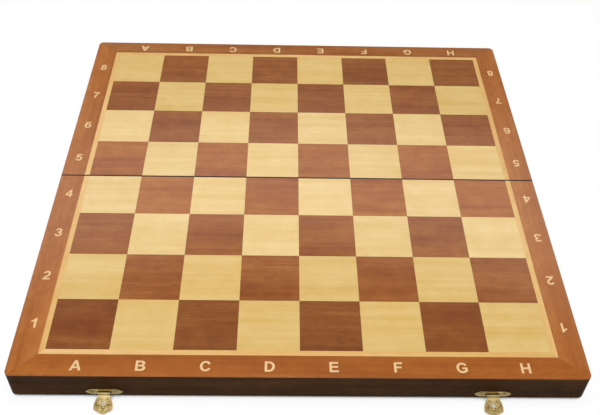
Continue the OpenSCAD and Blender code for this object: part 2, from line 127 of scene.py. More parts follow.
# bands and streaks are noise scales per metre, stretch is how long the figure runs along the grain
darkVeneer = {
    "deep": "#86461b", "body": "#9a5a27", "pale": "#a96a33", "pore": "#4a240c",
    "bands": 30.0, "stretch": 9.0, "streaks": 520.0, "streakShare": 0.4, "pores": 0.38,
    "toneSpread": 0.035, "paintedShadeRichness": 0.0, "roughness": 0.36, "specular": 0.1, "coat": 0.9,
    "relief": 0.05}
lightVeneer = {
    "deep": "#d9b573", "body": "#e1c184", "pale": "#e8cb91", "pore": "#bf965a",
    "bands": 26.0, "stretch": 12.0, "streaks": 560.0, "streakShare": 0.35, "pores": 0.16,
    "toneSpread": 0.015, "paintedShadeRichness": 0.9, "roughness": 0.38, "specular": 0.1, "coat": 0.9,
    "relief": 0.03}
sideBorder = {
    "deep": "#98541e", "body": "#a9642b", "pale": "#b87438", "pore": "#5a2d10",
    "bands": 34.0, "stretch": 12.0, "streaks": 480.0, "streakShare": 0.35, "pores": 0.4,
    "roughness": 0.36, "specular": 0.1, "coat": 0.9, "relief": 0.05}
frontBorder = {**sideBorder, "deep": "#94501a", "body": "#a45c20", "pale": "#b16a2a"}
backBorder = {**sideBorder, "deep": "#8f501f", "body": "#9d5f2c", "pale": "#ab6e3b"}
stringVeneer = {
    "deep": "#d2a35f", "body": "#deb370", "pale": "#e6bd82", "pore": "#b58546",
    "bands": 30.0, "stretch": 14.0, "streaks": 520.0, "streakShare": 0.3, "pores": 0.15,
    "roughness": 0.38, "specular": 0.1, "coat": 0.9, "relief": 0.03}
stainedRail = {
    "deep": "#351f0e", "body": "#462c14", "pale": "#56381b", "pore": "#1c0f06",
    "bands": 28.0, "stretch": 14.0, "streaks": 380.0, "streakShare": 0.35, "pores": 0.5,
    "roughness": 0.5, "specular": 0.03, "coat": 0.0, "relief": 0.06}
plyPanel = {
    "deep": "#b08a5a", "body": "#c7a476", "pale": "#d8ba8e", "pore": "#8a6439",
    "bands": 24.0, "stretch": 8.0, "streaks": 300.0, "streakShare": 0.3, "pores": 0.4,
    "roughness": 0.7, "specular": 0.2, "coat": 0.0, "relief": 0.08}

# painted light on each rank's strip, from the player's side to the far side: darker toward both ends as
# painted shade and dark reflection of chessmen that are not built, brighter in the middle as a painted
# sheen of the lacquer
darkRankShading = [0.78, 0.96, 0.98, 1.17, 1.12, 0.93, 0.87, 0.84]
lightRankShading = [0.9, 0.9, 1.0, 1.0, 0.98, 1.0, 0.91, 0.91]

# how the figure is put together, the same for every wood
grain = {
    "figureShare": 0.45, "ribbonShare": 0.3, "cloudShare": 0.25, "ribbonFiner": 6.0, "ribbonLonger": 0.35,
    "cloudScale": 60.0, "streakLength": 30.0, "poreScale": 1500.0, "poreLength": 12.0,
    "streakRise": 0.35, "poreDepth": 0.8, "squareJump": (3.0, 5.0, 2.0)}
lacquer = {"coatRoughness": 0.14, "coatIor": 1.5, "wearScale": 9.0, "wear": 0.18, "poreRoughness": 0.2}
# a dark band along the fold: painted shade of the gap between the halves, and stain in its edges
foldShadeAndStain = {"from": 0.85, "to": 1.05, "strength": 0.97, "colour": "#1e0f08"}  # mm from the fold


def gridCell(s, place):
    # whole numbers for the square under a point; the fold's gap is closed up first
    axes = s.add("ShaderNodeSeparateXYZ", {"Vector": place}).outputs
    gap = s.math("MULTIPLY", s.math("SIGN", axes["Y"]), seamHalf)
    column = s.math("FLOOR", s.math("DIVIDE", axes["X"], squareSize))
    row = s.math("FLOOR", s.math("DIVIDE", s.math("SUBTRACT", axes["Y"], gap), squareSize))
    cell = s.add("ShaderNodeCombineXYZ", {"X": s.math("ADD", column, 4.0), "Y": s.math("ADD", row, 4.0)})
    return cell.outputs[0], s.math("ADD", row, 4.5)


def squareToneAndShading(s, wood, ranks, pick, row):
    # brightness and richness of a square: the painted shade and sheen of its rank, richer in colour where
    # the rank is darker, and a little chance in the veneer's own tone
    spread = wood["toneSpread"]
    chance = s.math("ADD", s.math("MULTIPLY", pick.outputs["Value"], 2 * spread), 1 - spread)
    brightest = max(ranks)
    stops = [((i + 0.5) / len(ranks), tone / brightest) for i, tone in enumerate(ranks)]
    rankShading = s.ramp(s.math("DIVIDE", row, float(len(ranks))), stops)
    value = s.math("MULTIPLY", chance, s.math("MULTIPLY", rankShading, brightest))
    shadeRicher = s.math("MULTIPLY", s.math("SUBTRACT", 1.0, rankShading), wood["paintedShadeRichness"])
    return {"Value": value, "Saturation": s.math("ADD", shadeRicher, 1.0)}


def woodMaterial(name, wood, alongY=False, ranks=None, shift=(0.0, 0.0, 0.0), withFoldShadeAndStain=True):
    s = Shader(name)
    here = s.objectCoords()
    place = s.vec("ADD", here, shift)
    shade = None
    if ranks:  # every square is cut from its own place in the sheet
        cell, row = gridCell(s, here)
        pick = s.add("ShaderNodeTexWhiteNoise", {"Vector": cell}, noise_dimensions="3D")
        place = s.vec("ADD", place, s.vec("MULTIPLY", pick.outputs["Color"], grain["squareJump"]))
        shade = squareToneAndShading(s, wood, ranks, pick, row)
    if alongY:
        place = s.mapped(place, turn=(0, 0, math.pi / 2))

    def alongGrain(length):
        return s.mapped(place, scale=(1 / length, 1, 1))

    finer = wood["bands"] * grain["ribbonFiner"]
    figure = s.noise(alongGrain(wood["stretch"]), wood["bands"], 4.0, 0.55, 0.6)
    ribbon = s.noise(alongGrain(wood["stretch"] / grain["ribbonLonger"]), finer, 2.0, 0.5, 0.2)
    streak = s.noise(alongGrain(grain["streakLength"]), wood["streaks"], 3.0, 0.6)
    poreAt = s.noise(alongGrain(grain["poreLength"]), grain["poreScale"], 1.0, 0.5)
    cloud = s.noise(place, grain["cloudScale"], 3.0, 0.6)  # chatoyance across the grain
    blend = s.math("ADD", s.math("MULTIPLY", figure, grain["figureShare"]),
                   s.math("MULTIPLY", ribbon, grain["ribbonShare"]))
    blend = s.math("ADD", blend, s.math("MULTIPLY", cloud, grain["cloudShare"]))
    deep, body, pale, pore = (srgb(wood[key]) for key in ("deep", "body", "pale", "pore"))
    colour = s.ramp(blend, [(0.38, deep), (0.5, body), (0.62, pale)])
    fine = s.ramp(streak, [(0.3, 0.0), (0.7, 1.0)])
    colour = s.mix(s.math("MULTIPLY", fine, wood["streakShare"]), colour, deep)
    pores = s.ramp(poreAt, [(0.56, 0.0), (0.68, 1.0)])
    pores = s.math("MULTIPLY", pores, s.ramp(ribbon, [(0.4, 0.25), (0.6, 1.0)]))
    colour = s.mix(s.math("MULTIPLY", pores, wood["pores"]), colour, pore)
    # the squares' painted shade and sheen by rank, with their own random tone
    if shade:
        colour = s.add("ShaderNodeHueSaturation", {"Color": colour, **shade}).outputs[0]
    if withFoldShadeAndStain:  # painted shade of the gap at the fold, and stain crept into the edges along it: a dark band on both sides
        fold = s.math("ABSOLUTE", s.add("ShaderNodeSeparateXYZ", {"Vector": here}).outputs["Y"])
        dark = s.ramp(s.math("DIVIDE", fold, mm), [(foldShadeAndStain["from"], 1.0), (foldShadeAndStain["to"], 0.0)])
        colour = s.mix(s.math("MULTIPLY", dark, foldShadeAndStain["strength"]), colour, srgb(foldShadeAndStain["colour"]))
    rubbed = s.noise(here, lacquer["wearScale"], 3.0, 0.6)  # lacquer worn unevenly by handling
    smoothest = wood["roughness"] - lacquer["wear"] / 2
    rough = s.math("ADD", s.math("MULTIPLY", rubbed, lacquer["wear"]), smoothest)
    rough = s.math("ADD", rough, s.math("MULTIPLY", pores, lacquer["poreRoughness"]))
    height = s.math("SUBTRACT", s.math("MULTIPLY", streak, grain["streakRise"]),
                    s.math("MULTIPLY", pores, grain["poreDepth"]))
    s.set(color=colour, roughness=rough, specular=wood["specular"], coat=wood["coat"],
          coatRoughness=lacquer["coatRoughness"], coatIor=lacquer["coatIor"],
          normal=s.bump(height, 0.5, wood["relief"] * mm))
    return s.mat


# recess is the colour of the hollows: tarnish there, and painted shade
brassFinish = {
    "raised": "#d9c389", "body": "#b3985b", "tarnish": "#8a713c", "recess": "#453312",
    "roughness": 0.24, "cloudRoughness": 0.25, "tarnishAndShadeRoughness": 0.3,
    "cloudScale": 160.0, "speckScale": 1400.0, "brushScale": 900.0,
    "recessReach": 0.8, "recessTarnishAndShade": 2.1, "speckDirt": 0.3, "relief": 0.05}


def brassMaterial(name, brass):
    s = Shader(name)
    place = s.objectCoords()
    raised, body, tarnish, recess = (srgb(brass[key]) for key in ("raised", "body", "tarnish", "recess"))
    cloud = s.noise(place, brass["cloudScale"], 4.0, 0.6)
    speck = s.noise(place, brass["speckScale"], 2.0, 0.5)
    reach = {"Distance": brass["recessReach"] * mm}
    exposed = s.add("ShaderNodeAmbientOcclusion", reach, samples=8).outputs["AO"]
    edge = s.add("ShaderNodeNewGeometry").outputs["Pointiness"]
    colour = s.ramp(cloud, [(0.3, tarnish), (0.48, body), (0.7, raised)])
    # sharp edges found by pointiness get the raised colour: a painted highlight on the relief
    colour = s.mix(s.ramp(edge, [(0.5, 0.0), (0.56, 0.8)]), colour, raised)
    # hollows found by occlusion darkened toward recess: tarnish there, and painted shade; specks are real
    # dirt
    tarnishAndShade = s.math("MULTIPLY", s.math("SUBTRACT", 1.0, exposed), brass["recessTarnishAndShade"])
    specks = s.math("MULTIPLY", s.ramp(speck, [(0.58, 0.0), (0.74, 1.0)]), brass["speckDirt"])
    tarnishAndShade = s.math("ADD", tarnishAndShade, specks, clamp=True)
    colour = s.mix(tarnishAndShade, colour, recess)
    rough = s.math("ADD", s.math("MULTIPLY", cloud, brass["cloudRoughness"]), brass["roughness"])
    rough = s.math("ADD", rough, s.math("MULTIPLY", tarnishAndShade, brass["tarnishAndShadeRoughness"]))
    brushed = s.noise(s.mapped(place, scale=(0.1, 1, 1)), brass["brushScale"], 2.0, 0.5)
    s.set(color=colour, metallic=1.0, roughness=rough, normal=s.bump(brushed, 0.15, brass["relief"] * mm))
    return s.mat


feltFinish = {
    "base": "#1d4a31", "dark": "#123322", "fibre": "#3c7355", "sheen": "#7fb592",
    "tuftScale": 700.0, "fibreScale": 2600.0, "patchScale": 14.0, "fibreShare": 0.5, "patchShare": 0.3,
    "relief": 0.3}


def feltMaterial(name, felt):
    s = Shader(name)
    place = s.objectCoords()
    tuft = s.noise(place, felt["tuftScale"], 5.0, 0.75)
    combed = s.mapped(place, scale=(1, 0.12, 1), turn=(0, 0, 0.6))
    fibre = s.noise(combed, felt["fibreScale"], 2.0, 0.6, 1.5)
    patch = s.noise(place, felt["patchScale"], 3.0, 0.6)
    colour = s.ramp(tuft, [(0.3, srgb(felt["dark"])), (0.6, srgb(felt["base"]))])
    hairs = s.math("MULTIPLY", s.ramp(fibre, [(0.5, 0.0), (0.72, 1.0)]), felt["fibreShare"])
    colour = s.mix(hairs, colour, srgb(felt["fibre"]))
    colour = s.mix(s.math("MULTIPLY", patch, felt["patchShare"]), colour, srgb(felt["dark"]))
    pile = s.bump(s.math("ADD", tuft, fibre), 0.6, felt["relief"] * mm)
    s.set(color=colour, roughness=0.95, specular=0.1, sheen=0.6, sheenRoughness=0.4,
          sheenTint=srgb(felt["sheen"]), normal=pile)
    return s.mat


inlayFinish = {
    "pale": "#dcb47a", "light": "#e4c08a", "worn": "#c9975c",
    "grainScale": 700.0, "patchScale": 500.0, "wornShare": 0.35, "relief": 0.02}


def inlayMaterial(name, inlay):
    s = Shader(name)
    place = s.objectCoords()
    fine = s.noise(s.mapped(place, scale=(0.1, 1, 1)), inlay["grainScale"], 3.0, 0.6)
    patches = s.noise(place, inlay["patchScale"], 3.0, 0.6)
    colour = s.ramp(fine, [(0.35, srgb(inlay["pale"])), (0.65, srgb(inlay["light"]))])
    worn = s.math("MULTIPLY", s.ramp(patches, [(0.6, 0.0), (0.8, 1.0)]), inlay["wornShare"])
    colour = s.mix(worn, colour, srgb(inlay["worn"]))
    s.set(color=colour, roughness=0.42, coat=0.5, coatRoughness=0.18,
          normal=s.bump(fine, 0.3, inlay["relief"] * mm))
    return s.mat


# shift picks another place in the sheet of veneer
materials = {
    "squaresDark": woodMaterial("squaresDark", darkVeneer, ranks=darkRankShading),
    "squaresLight": woodMaterial("squaresLight", lightVeneer, ranks=lightRankShading),
    "borderFront": woodMaterial("borderFront", frontBorder, shift=(0.3, 0.1, 0.0)),
    "borderBack": woodMaterial("borderBack", backBorder, shift=(0.8, 0.6, 0.0)),
    "borderSide": woodMaterial("borderSide", sideBorder, alongY=True, shift=(0.7, 0.2, 0.0)),
    "stringAcross": woodMaterial("stringAcross", stringVeneer, shift=(0.2, 0.6, 0.0)),
    "stringAlong": woodMaterial("stringAlong", stringVeneer, alongY=True, shift=(0.1, 0.9, 0.0)),
    "railAcross": woodMaterial("railAcross", stainedRail, shift=(0.5, 0.5, 0.0), withFoldShadeAndStain=False),
    "railAlong": woodMaterial("railAlong", stainedRail, alongY=True, shift=(0.9, 0.4, 0.0),
                              withFoldShadeAndStain=False),
    "plywood": woodMaterial("plywood", plyPanel, withFoldShadeAndStain=False),
    "brass": brassMaterial("brass", brassFinish),
    "felt": feltMaterial("felt", feltFinish),
    "inlay": inlayMaterial("inlay", inlayFinish)}


def finishFor(node):
    alongSide = "left" in node or "right" in node
    if node.endswith("_rail"):
        return "railAlong" if alongSide else "railAcross"
    if node.endswith("_string"):
        return "stringAlong" if alongSide else "stringAcross"
    if node.endswith("_border"):
        return "borderSide" if alongSide else "borderFront" if "front" in node else "borderBack"
    endings = {"_panel": "plywood", "_lining": "felt", "dark_squares": "squaresDark",
               "light_squares": "squaresLight"}
    return next((finish for ending, finish in endings.items() if node.endswith(ending)), "brass")


for name in nodes:
    slots = nodes[name].data.materials
    if not slots:
        slots.append(None)
    for i in range(len(slots)):
        slots[i] = materials[finishFor(name)]
print("materials on", len(nodes), "nodes")


def arc(cx, cy, rx, ry, start, end):
    # points on an ellipse, from one angle to the other
    steps = max(2, round(abs(end - start) / 15))
    angles = [math.radians(start + (end - start) * i / steps) for i in range(steps + 1)]
    return [(cx + rx * math.cos(a), cy + ry * math.sin(a)) for a in angles]


def ringAt(cx, cy, radius):
    return arc(cx, cy, radius, radius, 0, 360)


def flatShape(name, loops, thickness=0.0):
    # fills closed loops, holes left open, and gives the sheet a thickness about its own plane
    curve = bpy.data.curves.new(name, "CURVE")
    curve.dimensions = "2D"
    curve.fill_mode = "BOTH"
    curve.extrude = thickness / 2
    for loop in loops:
        spline = curve.splines.new("POLY")
        spline.points.add(len(loop) - 1)
        for point, (x, y) in zip(spline.points, loop):
            point.co = (x, y, 0, 1)
        spline.use_cyclic_u = True
    carrier = bpy.data.objects.new(name, curve)
    mesh = bpy.data.meshes.new_from_object(carrier)
    bpy.data.objects.remove(carrier)
    bm = bmesh.new()
    bm.from_mesh(mesh)
    bmesh.ops.remove_doubles(bm, verts=bm.verts, dist=1e-7)
    bmesh.ops.recalc_face_normals(bm, faces=bm.faces)
    bm.to_mesh(mesh)
    bm.free()
    mesh.name = name
    return mesh


def addPiece(mesh, place, body, material):
    # a finished piece keeps its place in its mesh
    mesh.transform(place)
    mesh.materials.clear()
    mesh.materials.append(material)
    piece = bpy.data.objects.new(mesh.name, mesh)
    bpy.context.scene.collection.objects.link(piece)
    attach(piece, body)


# outlines of the letters and digits, 100 high: the width, the outline, then the counters
glyphs = {
    "A": (98, [(0, 0), (22, 0), (30, 22), (68, 22), (76, 0), (98, 0), (60, 100), (38, 100)],
          [(36.5, 39), (61.5, 39), (49, 74)]),
    "B": (84, [(0, 0), *arc(48, 29, 36, 29, -90, 52), *arc(46, 75.5, 33, 24.5, -55, 90), (0, 100)],
          [(20, 17), *arc(45, 30, 18, 13, -90, 90), (20, 43)],
          [(20, 59), *arc(43, 71, 15, 12, -90, 90), (20, 83)]),
    "C": (88, arc(47, 50, 47, 51.5, 27, 333) + arc(47, 50, 26, 34, 331, 29)),
    "D": (84, [(0, 0), *arc(38, 50, 46, 50, -90, 90), (0, 100)],
          [(20, 17), *arc(36, 50, 26.5, 33, -90, 90), (20, 83)]),
    "E": (76, [(0, 0), (76, 0), (76, 17), (20, 17), (20, 43), (71, 43), (71, 60), (20, 60), (20, 83),
               (74, 83), (74, 100), (0, 100)]),
    "F": (69, [(0, 0), (20, 0), (20, 42), (62, 42), (62, 59), (20, 59), (20, 83), (69, 83), (69, 100),
               (0, 100)]),
    "G": (94, [*arc(48, 50, 48, 51.5, 30, 312), (93, 19), (93, 54), (50, 54), (50, 37), (73, 37), (73, 27),
               *arc(48, 50, 27, 34, 310, 34)]),
    "H": (82, [(0, 0), (20, 0), (20, 42), (62, 42), (62, 0), (82, 0), (82, 100), (62, 100), (62, 59),
               (20, 59), (20, 100), (0, 100)]),
    "1": (46, [(26, 0), (46, 0), (46, 100), (30, 100), (22, 87), (11, 78), (0, 73.5), (0, 56), (14, 61),
               (26, 69)]),
    "2": (67, [(0, 0), (67, 0), (67, 18), (29, 18), (35, 25), (48, 36), (59, 48), (65, 59),
               *arc(34, 71, 33, 30, 0, 172), *arc(34, 71, 13.5, 13.5, 172, 0),
               (45, 61), (36, 50), (22, 38), (9, 24), (2, 11)]),
    "3": (67, [*arc(33, 73, 31, 28.5, 168, -38), (50, 52.5), *arc(33, 29.5, 34, 31, 42, -172),
               (19, 28), *arc(33.5, 30, 14.5, 15, 190, 450), (25, 45), (27, 60),
               *arc(33, 72.5, 12.5, 12.5, -90, 170)]),
    "4": (71, [(40, 0), (59, 0), (59, 21), (71, 21), (71, 38), (59, 38), (59, 100), (42, 100), (0, 38),
               (0, 21), (40, 21)], [(40, 38), (18, 38), (40, 71)]),
    "5": (69, [(13, 100), (64, 100), (64, 82), (28, 82), *arc(34, 33, 34.5, 34.5, 105, -172),
               *arc(34, 33, 14.5, 17, 192, 495), (4, 46)]),
    "6": (69, [*arc(37, 66, 31, 35.5, 14, 90), *arc(37, 50, 37, 51.5, 90, 180),
               *arc(34.5, 33.5, 34.5, 35, 180, 468), *arc(37, 66, 17, 19.5, 176, 16)],
          arc(35, 33, 15, 18.5, 0, 345)),
    "7": (67, [(0, 100), (67, 100), (67, 86), (56, 72), (46, 54), (38, 32), (35, 0), (15, 0), (18, 26),
               (26, 51), (36, 70), (45, 82), (0, 82)]),
    "8": (67, [*arc(33.5, 74.5, 29.5, 27, -40, 220), (13, 53), *arc(33.5, 28.5, 33.5, 30, 138, 402),
               (54, 53)], arc(33.5, 73.5, 12, 12, 0, 345), arc(33.5, 29.5, 14.5, 14.5, 0, 345))}

coordinates = {
    "capHeight": 10.1,
    "thickness": 0.06,
    "proud": 0.02,  # above the border veneer
    "frontRow": 16.1,  # middle of the letters from the grid's edge
    "backRow": 14.5,
    "rowShift": 1.6,  # the letters stand a little right of their squares
    "leftColumn": 15.6,  # middle of the digits from the grid's edge
    "rightColumn": 17.2,
    "columnShift": 0.4}


def coordinateRow(name, text, start, step, turned, body):
    scale = coordinates["capHeight"] * mm / 100
    sign = -1 if turned else 1
    loops = []
    for i, letter in enumerate(text):
        width, *outlines = glyphs[letter]
        cx, cy = start[0] + step[0] * i, start[1] + step[1] * i
        for outline in outlines:
            loops.append([(cx + sign * (x - width / 2) * scale, cy + sign * (y - 50) * scale)
                          for x, y in outline])
    mesh = flatShape(name, loops, coordinates["thickness"] * mm)
    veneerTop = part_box("base_front_border")[1].z
    lift = veneerTop + (coordinates["proud"] - coordinates["thickness"] / 2) * mm
    addPiece(mesh, Matrix.Translation((0, 0, lift)), body, materials["inlay"])


half = squareSize / 2
gridX, gridY = 4 * squareSize, 4 * squareSize + seamHalf
shiftX, shiftY = coordinates["rowShift"] * mm, coordinates["columnShift"] * mm
firstX = -gridX + half + shiftX
frontY = -gridY - coordinates["frontRow"] * mm
backY = gridY + coordinates["backRow"] * mm
leftX = -gridX - coordinates["leftColumn"] * mm
rightX = gridX + coordinates["rightColumn"] * mm
rankOne, rankFive = -gridY + half, seamHalf + half
across, away = (squareSize, 0), (0, squareSize)
coordinateRow("frontLetters", "ABCDEFGH", (firstX, frontY), across, False, "base")
coordinateRow("backLetters", "ABCDEFGH", (firstX, backY), across, True, "lid")
coordinateRow("leftNearDigits", "1234", (leftX, rankOne + shiftY), away, False, "base")
coordinateRow("leftFarDigits", "5678", (leftX, rankFive + shiftY), away, False, "lid")
coordinateRow("rightNearDigits", "1234", (rightX, rankOne - shiftY), away, True, "base")
coordinateRow("rightFarDigits", "5678", (rightX, rankFive - shiftY), away, True, "lid")
print("coordinates laid in")


class Growth(Wiring):
    # a Geometry Nodes tree with named sizes, a seed and a material, built along what it is given
    def __init__(self, name, sizes):
        super().__init__(bpy.data.node_groups.new(name, "GeometryNodeTree"))
        sockets = [("Geometry", "INPUT", "Geometry"), *((size, "INPUT", "Float") for size in sizes),
                   ("seed", "INPUT", "Int"), ("material", "INPUT", "Material"),
                   ("Geometry", "OUTPUT", "Geometry")]
        for label, way, kind in sockets:
            self.tree.interface.new_socket(label, in_out=way, socket_type="NodeSocket" + kind)
        self.given = self.add("NodeGroupInput").outputs

    def part(self, kind, inputs=None, **props):
        return self.add(kind, inputs, **props).outputs[0]

    def beadsOn(self, points):
        # flattened beads
        bead = self.part("GeometryNodeMeshIcoSphere", {"Subdivisions": 2, "Radius": self.given["radius"]})
        flat = self.part("ShaderNodeCombineXYZ", {"X": 1.0, "Y": 1.0, "Z": self.given["flatness"]})
        beads = {"Points": points, "Instance": bead, "Scale": flat}
        return self.part("GeometryNodeInstanceOnPoints", beads)

    def finish(self, shape):
        real = self.part("GeometryNodeRealizeInstances", {0: shape})
        smooth = self.part("GeometryNodeSetShadeSmooth", {0: real})
        paint = {"Geometry": smooth, "Material": self.given["material"]}
        self.add("NodeGroupOutput", {0: self.part("GeometryNodeSetMaterial", paint)})
        return self.tree


def beadRimTree():
    # a string of beads along edges
    g = Growth("beadRim", ["spacing", "radius", "flatness"])
    path = g.part("GeometryNodeMeshToCurve", {"Mesh": g.given["Geometry"]})
    steps = {"Curve": path, "Length": g.given["spacing"]}
    return g.finish(g.beadsOn(g.part("GeometryNodeResampleCurve", steps, mode="LENGTH")))


def raisedLineTree():
    # a round raised line along edges
    g = Growth("raisedLine", ["radius"])
    path = g.part("GeometryNodeMeshToCurve", {"Mesh": g.given["Geometry"]})
    section = g.part("GeometryNodeCurvePrimitiveCircle", {"Resolution": 8, "Radius": g.given["radius"]})
    sweep = {"Curve": path, "Profile Curve": section, "Fill Caps": True}
    return g.finish(g.part("GeometryNodeCurveToMesh", sweep))


def mattedGroundTree():
    # small punched beads scattered over faces
    g = Growth("mattedGround", ["spacing", "radius", "flatness", "density"])
    strew = {"Mesh": g.given["Geometry"], "Distance Min": g.given["spacing"],
             "Density Max": g.given["density"], "Seed": g.given["seed"]}
    points = g.part("GeometryNodeDistributePointsOnFaces", strew, distribute_method="POISSON")
    return g.finish(g.beadsOn(points))


def grow(name, tree, mesh, values):
    # runs a tree on a mesh and returns the result as a plain mesh
    carrier = bpy.data.objects.new(name, mesh)
    bpy.context.scene.collection.objects.link(carrier)
    modifier = carrier.modifiers.new("build", "NODES")
    modifier.node_group = tree
    ids = {item.name: item.identifier for item in tree.interface.items_tree if item.in_out == "INPUT"}
    for label, value in values.items():
        modifier[ids[label]] = value
    bpy.context.view_layer.update()
    graph = bpy.context.evaluated_depsgraph_get()
    result = bpy.data.meshes.new_from_object(carrier.evaluated_get(graph))
    bpy.data.objects.remove(carrier)
    return result


def lineMesh(chains):
    # chains of points; one whose ends meet is closed
    mesh = bpy.data.meshes.new("chains")
    points, edges = [], []
    for chain in chains:
        closed = math.dist(chain[0], chain[-1]) < 0.001 * mm
        ring = chain[:-1] if closed else chain
        first = len(points)
        points += [(x, y, 0) for x, y in ring]
        edges += [(first + i, first + i + 1) for i in range(len(ring) - 1)]
        if closed:
            edges.append((first + len(ring) - 1, first))
    mesh.from_pydata(points, edges, [])
    return mesh


def joinMeshes(name, meshes):
    bm = bmesh.new()
    for mesh in meshes:
        bm.from_mesh(mesh)
    joined = bpy.data.meshes.new(name)
    bm.to_mesh(joined)
    bm.free()
    for polygon in joined.polygons:
        polygon.use_smooth = True
    return joined


def inset(outline, distance):
    # moves a clockwise closed outline inward
    moved = []
    for i, (x, y) in enumerate(outline):
        ax, ay = outline[i - 1]
        bx, by = outline[(i + 1) % len(outline)]
        length = math.dist((ax, ay), (bx, by))
        moved.append((x + (by - ay) / length * distance, y - (bx - ax) / length * distance))
    return moved


def handed(hand, points):
    # hand is 1 for the right side and -1 for its mirror image
    return [(hand * x, y) for x, y in points]


def spiral(cx, cy, outer, inner, start, turns):
    # stamped scroll that winds in
    steps = round(turns * 14)
    points = []
    for i in range(steps + 1):
        radius = outer + (inner - outer) * i / steps
        angle = math.radians(start + 360 * turns * i / steps)
        points.append((cx + radius * math.cos(angle), cy + radius * math.sin(angle)))
    return points


def inMetres(loops):
    return [[(x * mm, y * mm) for x, y in loop] for loop in loops]


beadRim, raisedLine, mattedGround = beadRimTree(), raisedLineTree(), mattedGroundTree()

stamping = {
    "rimBead": 0.27, "rimSpacing": 0.62, "rimInset": 0.55, "rimFlatness": 0.6, "line": 0.17,
    "ground": 0.13, "groundSpacing": 0.42, "groundFlatness": 0.7, "groundDensity": 2.0e7, "seed": 7}


def stamp(name, rims, lines, regions, place, body):
    # beaded rims, raised lines and a matted ground on one brass plate, in the plate's own plane
    common = {"seed": stamping["seed"], "material": materials["brass"]}
    rimSizes = {"spacing": stamping["rimSpacing"] * mm, "radius": stamping["rimBead"] * mm,
                "flatness": stamping["rimFlatness"]}
    lineSizes = {"radius": stamping["line"] * mm}
    groundSizes = {"spacing": stamping["groundSpacing"] * mm, "radius": stamping["ground"] * mm,
                   "flatness": stamping["groundFlatness"], "density": stamping["groundDensity"]}
    sheet = flatShape("region", inMetres(regions))
    parts = [grow("rim", beadRim, lineMesh(inMetres(rims)), {**rimSizes, **common}),
             grow("lines", raisedLine, lineMesh(inMetres(lines)), {**lineSizes, **common}),
             grow("ground", mattedGround, sheet, {**groundSizes, **common})]
    addPiece(joinMeshes(name, parts), place, body, materials["brass"])


# the tongue in its own plane: the pin along X at 0, the tip toward -Y, in millimetres
tongue = {
    "neckWidth": 10.4, "neckLength": 2.4, "width": 16.2, "wideAt": 10.6, "cornerAt": 12.6,
    "cornerRadius": 1.4, "length": 17.1, "nubRadius": 5.2, "nubFrom": 40.0, "thickness": 0.9,
    "keyholeAt": 8.6, "keyholeRadius": 1.45, "keyholeSlot": 2.3, "bossAt": 11.8, "bossRadius": 1.3}
tongueOrnament = {
    "keyholeRim": 0.5, "keyholeNeck": 1.35, "bossRim": 0.3, "lineInset": 1.25, "groundInset": 1.0,
    "groundFrom": 2.2,
    # middle, outer and inner radius, angle of the start, turns
    "scrolls": [(3.1, -4.5, 1.25, 0.35, 200, 1.5), (5.1, -7.0, 1.15, 0.3, 120, 1.5),
                (4.9, -12.9, 0.95, 0.25, 60, 1.4)],
    "leaf": (2.6, -8.4, 1.9, 4.2, -75, 75),  # a bow beside the keyhole: middle, radii, angles
    "flutes": (-52, -26, 0, 26, 52),  # degrees to the sides, as on a shell
    "fluteFoot": (1.0, 0.5, -13.6), "fluteTip": (3.1, 2.7, -13.4)}  # radii and height of an arc


def tongueFlank(t):
    # right edge from below the roll down to the middle of the nub
    grown = (t["width"] - t["neckWidth"]) / 2
    run = t["wideAt"] - t["neckLength"]
    bell = [(t["neckWidth"] / 2 + grown * math.sin(math.pi / 2 * i / 8), -t["neckLength"] - run * i / 8)
            for i in range(9)]
    r = t["cornerRadius"]
    corner = arc(t["width"] / 2 - r, -t["cornerAt"], r, r, 0, -90)
    nub = arc(0, t["nubRadius"] - t["length"], t["nubRadius"], t["nubRadius"], -t["nubFrom"], -90)
    return bell + corner + nub


def keyholeRing(t, o):
    # round below, with a narrower slot above
    ring = t["keyholeRadius"] + o["keyholeRim"]
    neck = o["keyholeNeck"]
    bend = math.degrees(math.acos(neck / ring))
    loop = (arc(0, -t["keyholeAt"], ring, ring, bend, -180 - bend)
            + arc(0, t["keyholeSlot"] - t["keyholeAt"], neck, neck, 180, 0))
    return loop + [loop[0]]


def flute(o, angle):
    a = math.radians(angle - 90)
    return [(rx * math.cos(a), y + ry * math.sin(a)) for rx, ry, y in (o["fluteFoot"], o["fluteTip"])]


def tongueStamping(t, o):
    flank = tongueFlank(t)
    outline = flank + [(-x, y) for x, y in reversed(flank[:-1])]  # clockwise, open at the neck
    keyhole = keyholeRing(t, o)
    boss = ringAt(0, -t["bossAt"], t["bossRadius"] + o["bossRim"])
    rims = [inset(outline, stamping["rimInset"])[1:-1], boss]
    lines = [keyhole, inset(outline, o["lineInset"])[1:-1]]
    for hand in (1, -1):
        lines += [handed(hand, spiral(*scroll)) for scroll in o["scrolls"]]
        lines.append(handed(hand, arc(*o["leaf"])))
    lines += [flute(o, angle) for angle in o["flutes"]]
    ground = [(x, min(y, -o["groundFrom"])) for x, y in inset(outline, o["groundInset"])]
    return rims, lines, [ground, keyhole[:-1]]


clasps = {"x": 165.0, "pinY": -244.6, "pinZ": 7.1, "slope": 22.84, "plateFaceY": -243.65, "plateZ": 8.5,
          "catchZ": 4.9}


def onTongue(side):
    pin = Matrix.Translation((side * clasps["x"] * mm, clasps["pinY"] * mm, clasps["pinZ"] * mm))
    slope = Matrix.Rotation(math.radians(clasps["slope"]), 4, "X")
    return pin @ slope @ Matrix.Translation((0, 0, tongue["thickness"] / 2 * mm))


def onFront(x, z, turned=False):
    # plate plane: X along the box, Y up, facing out of the front, or out of the back when turned
    place = Matrix.Translation((x * mm, clasps["plateFaceY"] * mm, z * mm))
    return Matrix.Rotation(math.pi if turned else 0, 4, "Z") @ place @ Matrix.Rotation(math.pi / 2, 4, "X")


